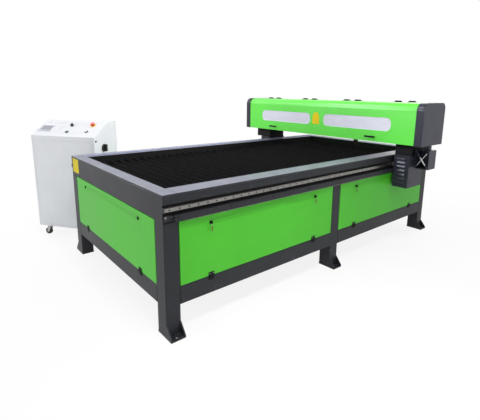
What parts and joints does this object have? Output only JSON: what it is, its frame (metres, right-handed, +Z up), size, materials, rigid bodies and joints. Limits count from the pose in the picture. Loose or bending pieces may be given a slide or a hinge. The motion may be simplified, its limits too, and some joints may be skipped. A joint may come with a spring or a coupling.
{
  "type": "laser cutting machine",
  "caption": "Flat-bed laser cutter: a welded slat bed with hinged doors, a hooded gantry that runs along it on racks, a sliding cutting head, and a wheeled operator console.",
  "frame": {"origin": "on the floor under the middle of the bed", "axes": "+Z up, +Y along the bed towards the parked gantry, +X towards the long side with the doors"},
  "size_m": [2.6774, 3.0933, 1.2962],
  "materials": {
    "charcoal_paint": "satin",
    "rim_paint": "gloss",
    "dark_steel": "matte",
    "bright_steel": "ground",
    "green_paint": "satin",
    "hinge_black": "satin",
    "buffer_rubber": "matte",
    "motor_black": "satin",
    "slate_paint": "gloss",
    "lime_paint": "satin",
    "window_sheet": "gloss",
    "nozzle_brass": "machined",
    "console_paint": "satin",
    "display_plastic": "gloss",
    "switch_black": "matte",
    "switch_red": "gloss",
    "switch_green": "gloss",
    "caster_steel": "satin",
    "caster_tread": "matte"
  },
  "bodies": {
    "bed": {"legs": "charcoal_paint", "lower_rails": "charcoal_paint", "side_beams": "charcoal_paint", "end_beams": "charcoal_paint", "rack_ledges": "charcoal_paint", "top_rim": "rim_paint", "inner_walls": "dark_steel", "slats": "dark_steel", "slat_combs": "dark_steel", "scrap_trays": "dark_steel", "fixed_panels": "green_paint", "guide_rails": "bright_steel", "gear_racks": "bright_steel", "end_buffers": "buffer_rubber", "hinge_bases": "hinge_black", "far_side_door": "green_paint", "far_side_door_fittings": "hinge_black", "console_casing": "console_paint", "console_front": "console_paint", "display": "display_plastic", "button_collars": "switch_black", "rear_caster_forks": "caster_steel"},
    "end_door": {"end_door": "green_paint", "end_door_fittings": "hinge_black"},
    "near_side_door": {"near_side_door": "green_paint", "near_side_door_fittings": "hinge_black"},
    "gantry": {"cross_beam": "charcoal_paint", "gantry_brackets": "dark_steel", "guide_blocks": "bright_steel", "drive_motors": "motor_black", "motor_covers": "slate_paint", "drive_box": "slate_paint", "end_caps": "slate_paint", "rear_cover": "lime_paint", "cross_rails": "bright_steel", "cross_rack": "bright_steel", "hood_hinge_bases": "hinge_black"},
    "right_pinion": {"right_pinion": "bright_steel"},
    "left_pinion": {"left_pinion": "bright_steel"},
    "hood": {"hood": "lime_paint", "hood_windows": "window_sheet", "hood_fittings": "hinge_black"},
    "carriage": {"carriage_plate": "charcoal_paint", "carriage_blocks": "bright_steel", "carriage_motors": "motor_black"},
    "cross_pinion": {"cross_pinion": "bright_steel"},
    "head": {"head_slide": "charcoal_paint", "cutting_head": "charcoal_paint", "nozzle": "nozzle_brass"},
    "emergency_stop": {"emergency_stop": "switch_red"},
    "selector_switch": {"selector_switch": "switch_black"},
    "start_button": {"start_button": "switch_green"},
    "stop_button": {"stop_button": "switch_red"},
    "main_switch": {"main_switch": "switch_black"},
    "left_caster": {"left_caster_fork": "caster_steel"},
    "right_caster": {"right_caster_fork": "caster_steel"},
    "front_left_wheel": {"front_left_wheel": "caster_tread"},
    "front_right_wheel": {"front_right_wheel": "caster_tread"},
    "rear_left_wheel": {"rear_left_wheel": "caster_tread"},
    "rear_right_wheel": {"rear_right_wheel": "caster_tread"}
  },
  "joints": [
    {"name": "gantry_slide", "type": "slide", "parent": "bed", "child": "gantry", "axis": [0, 1, 0], "range_m": [-1.58, 0.4]},
    {"name": "right_pinion_spin", "type": "hinge", "parent": "gantry", "child": "right_pinion", "pos_m": [0.788, 0.89, 0.65185], "axis": [1, 0, 0], "continuous": true},
    {"name": "left_pinion_spin", "type": "hinge", "parent": "gantry", "child": "left_pinion", "pos_m": [-0.788, 0.89, 0.65185], "axis": [1, 0, 0], "continuous": true},
    {"name": "carriage_slide", "type": "slide", "parent": "gantry", "child": "carriage", "axis": [1, 0, 0], "range_m": [-0.95, 0.24]},
    {"name": "cross_pinion_spin", "type": "hinge", "parent": "carriage", "child": "cross_pinion", "pos_m": [0.458, 0.917, 1.01385], "axis": [0, 1, 0], "continuous": true},
    {"name": "head_lift", "type": "slide", "parent": "carriage", "child": "head", "axis": [0, 0, 1], "range_m": [-0.08, 0.015]},
    {"name": "hood_lift", "type": "hinge", "parent": "gantry", "child": "hood", "pos_m": [0, 0.928, 1.2895], "axis": [-1, 0, 0], "range_deg": [0, 80]},
    {"name": "end_door_hinge", "type": "hinge", "parent": "bed", "child": "end_door", "pos_m": [0, -1.47, 0.29], "axis": [1, 0, 0], "range_deg": [0, 110]},
    {"name": "near_side_door_hinge", "type": "hinge", "parent": "bed", "child": "near_side_door", "pos_m": [0.785, -0.7095, 0.29], "axis": [0, 1, 0], "range_deg": [0, 110]},
    {"name": "emergency_stop_push", "type": "slide", "parent": "bed", "child": "emergency_stop", "axis": [-0.2827, 0.3892, -0.8767], "range_m": [0, 0.005]},
    {"name": "selector_turn", "type": "hinge", "parent": "bed", "child": "selector_switch", "pos_m": [-1.21467, -1.31833, 1.03084], "axis": [0.2827, -0.3892, 0.8767], "range_deg": [-45, 45]},
    {"name": "start_button_push", "type": "slide", "parent": "bed", "child": "start_button", "axis": [-0.2827, 0.3892, -0.8767], "range_m": [0, 0.004], "stiffness_N_per_m": 300, "springref_m": -0.002},
    {"name": "stop_button_push", "type": "slide", "parent": "bed", "child": "stop_button", "axis": [-0.2827, 0.3892, -0.8767], "range_m": [0, 0.004], "stiffness_N_per_m": 300, "springref_m": -0.002},
    {"name": "main_switch_turn", "type": "hinge", "parent": "bed", "child": "main_switch", "pos_m": [-0.94644, -1.13971, 0.845], "axis": [0.809, 0.5878, 0], "range_deg": [0, 90]},
    {"name": "left_caster_swivel", "type": "hinge", "parent": "bed", "child": "left_caster", "pos_m": [-1.35915, -1.53969, 0.09], "axis": [0, 0, 1], "continuous": true},
    {"name": "right_caster_swivel", "type": "hinge", "parent": "bed", "child": "right_caster", "pos_m": [-0.9595, -1.24932, 0.09], "axis": [0, 0, 1], "continuous": true},
    {"name": "front_left_wheel_roll", "type": "hinge", "parent": "left_caster", "child": "front_left_wheel", "pos_m": [-1.37857, -1.55379, 0.031], "axis": [-0.5878, 0.809, 0], "continuous": true},
    {"name": "front_right_wheel_roll", "type": "hinge", "parent": "right_caster", "child": "front_right_wheel", "pos_m": [-0.97892, -1.26343, 0.031], "axis": [-0.5878, 0.809, 0], "continuous": true},
    {"name": "rear_left_wheel_roll", "type": "hinge", "parent": "bed", "child": "rear_left_wheel", "pos_m": [-1.51376, -1.36772, 0.031], "axis": [-0.5878, 0.809, 0], "continuous": true},
    {"name": "rear_right_wheel_roll", "type": "hinge", "parent": "bed", "child": "rear_right_wheel", "pos_m": [-1.11411, -1.07735, 0.031], "axis": [-0.5878, 0.809, 0], "continuous": true}
  ],
  "couplings": [
    {"joint": "right_pinion_spin", "follows": "gantry_slide", "rad_per_m": 55.556},
    {"joint": "left_pinion_spin", "follows": "gantry_slide", "rad_per_m": 55.556},
    {"joint": "cross_pinion_spin", "follows": "carriage_slide", "rad_per_m": -55.556}
  ]
}
